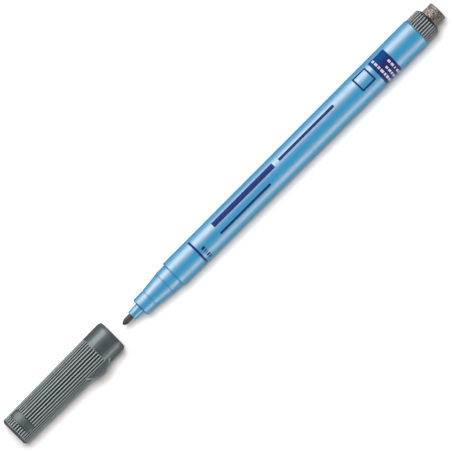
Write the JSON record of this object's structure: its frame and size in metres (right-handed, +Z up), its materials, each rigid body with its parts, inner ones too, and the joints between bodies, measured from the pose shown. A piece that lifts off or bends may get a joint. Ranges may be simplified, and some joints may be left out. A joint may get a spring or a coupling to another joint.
{
  "type": "fibre-tipped marker",
  "caption": "Slim round marker with a stepped nose, a fibre bullet nib and a felt eraser in a ribbed end plug, lying in line with its ribbed pull-off cap.",
  "frame": {"origin": "on the surface that the pen lies on, below the middle of the box round pen and cap", "axes": "+X along the pen from the cap to the eraser, +Z up from the surface, the cap's half-moon lug towards -Y"},
  "size_m": [0.1776, 0.0114, 0.0106],
  "materials": {
    "nib_fibre": "bonded fibre rod, dark grey with ink, matt",
    "barrel_plastic": "pearl light blue moulded plastic, satin gloss",
    "core_fibre": "bonded fibre, off-white, matt",
    "film": "thin film sleeve, glossy",
    "dark_plastic": "dark greyish green moulded plastic, satin",
    "eraser_felt": "dense speckled grey-brown felt",
    "seal_plastic": "soft natural plastic, slightly waxy"
  },
  "bodies": {
    "pen": {"nib": "nib_fibre", "barrel": "barrel_plastic", "reservoir_core": "core_fibre", "reservoir_film": "film", "end_plug": "dark_plastic", "eraser": "eraser_felt"},
    "cap": {"cap_shell": "dark_plastic", "cap_inner_seal": "seal_plastic"}
  },
  "joints": [
    {"name": "cap_slide", "type": "slide", "parent": "pen", "child": "cap", "axis": [1, 0, 0], "range_m": [0, 0.0345]}
  ]
}
